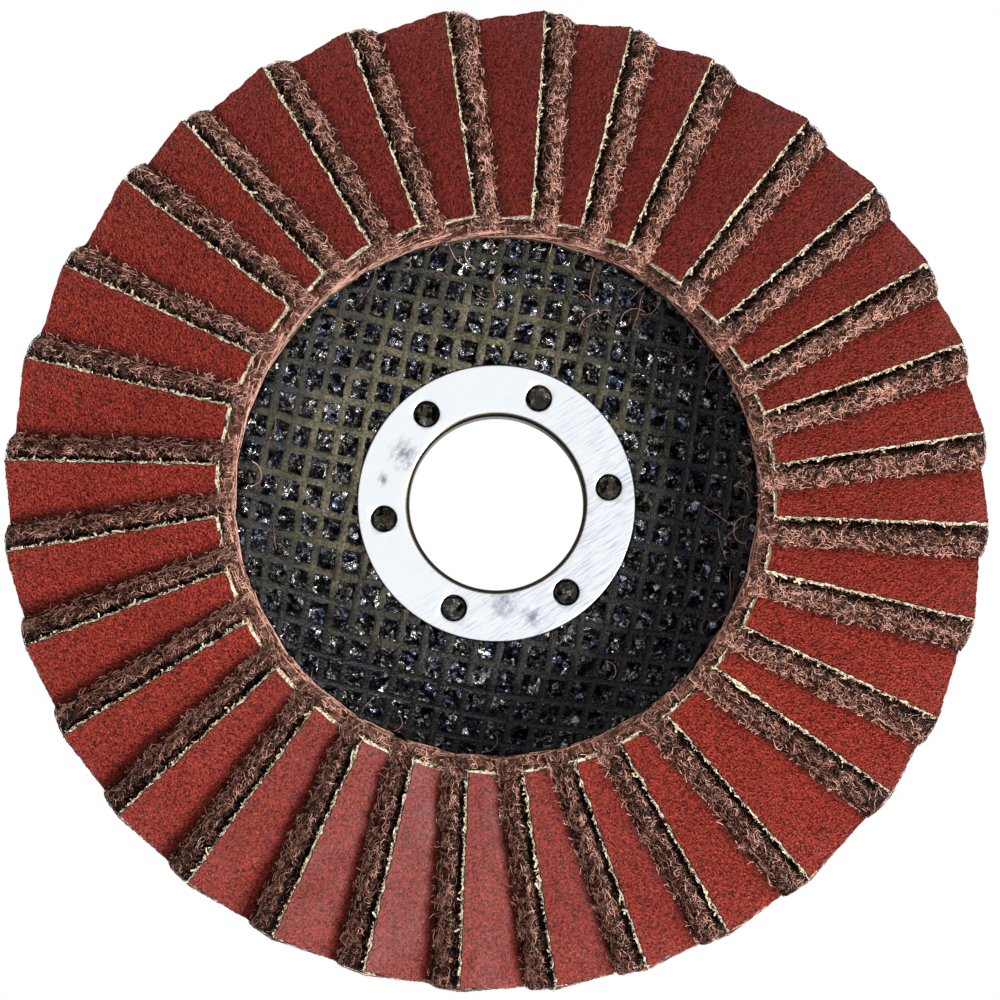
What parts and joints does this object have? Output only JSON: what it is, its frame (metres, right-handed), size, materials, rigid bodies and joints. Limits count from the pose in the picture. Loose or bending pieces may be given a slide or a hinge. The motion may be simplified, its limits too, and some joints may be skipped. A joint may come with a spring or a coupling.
{
  "type": "interleaved abrasive flap disc",
  "caption": "Round abrasive disc for an angle grinder: overlapping red abrasive cloth flaps alternate with non-woven fleece on a dished fibre plate with a steel-ringed bore.",
  "frame": {"origin": "on the bore's axis, in the plane of the hub's back face, which the grinder's flange seats on", "axes": "+Z out of the working side along the bore's axis, +Y towards the top of the picture, +X to its right"},
  "size_m": [0.1245, 0.1243, 0.0185],
  "materials": {
    "resin": "glossy",
    "ring_steel": "brushed",
    "glass_net": "matte",
    "adhesive": "matte",
    "abrasive_cloth": "matte",
    "fleece": "matte"
  },
  "bodies": {
    "root": {"backing_plate": "resin", "hub_ring": "ring_steel", "net_warp": "glass_net", "net_weft": "glass_net", "adhesive_bed": "adhesive", "abrasive_flap_01": "abrasive_cloth", "abrasive_flap_02": "abrasive_cloth", "abrasive_flap_03": "abrasive_cloth", "abrasive_flap_04": "abrasive_cloth", "abrasive_flap_05": "abrasive_cloth", "abrasive_flap_06": "abrasive_cloth", "abrasive_flap_07": "abrasive_cloth", "abrasive_flap_08": "abrasive_cloth", "abrasive_flap_09": "abrasive_cloth", "abrasive_flap_10": "abrasive_cloth", "abrasive_flap_11": "abrasive_cloth", "abrasive_flap_12": "abrasive_cloth", "abrasive_flap_13": "abrasive_cloth", "abrasive_flap_14": "abrasive_cloth", "abrasive_flap_15": "abrasive_cloth", "abrasive_flap_16": "abrasive_cloth", "abrasive_flap_17": "abrasive_cloth", "abrasive_flap_18": "abrasive_cloth", "abrasive_flap_19": "abrasive_cloth", "abrasive_flap_20": "abrasive_cloth", "abrasive_flap_21": "abrasive_cloth", "abrasive_flap_22": "abrasive_cloth", "abrasive_flap_23": "abrasive_cloth", "abrasive_flap_24": "abrasive_cloth", "abrasive_flap_25": "abrasive_cloth", "abrasive_flap_26": "abrasive_cloth", "abrasive_flap_27": "abrasive_cloth", "abrasive_flap_28": "abrasive_cloth", "abrasive_flap_29": "abrasive_cloth", "abrasive_flap_30": "abrasive_cloth", "abrasive_flap_31": "abrasive_cloth", "abrasive_flap_32": "abrasive_cloth", "fleece_flaps_01_02": "fleece", "fleece_flaps_03_04": "fleece", "fleece_flaps_05_06": "fleece", "fleece_flaps_07_08": "fleece", "fleece_flaps_09_10": "fleece", "fleece_flaps_11_12": "fleece", "fleece_flaps_13_14": "fleece", "fleece_flaps_15_16": "fleece", "fleece_flaps_17_18": "fleece", "fleece_flaps_19_20": "fleece", "fleece_flaps_21_22": "fleece", "fleece_flaps_23_24": "fleece", "fleece_flaps_25_26": "fleece", "fleece_flaps_27_28": "fleece", "fleece_flaps_29_30": "fleece", "fleece_flaps_31_32": "fleece"}
  },
  "joints": []
}
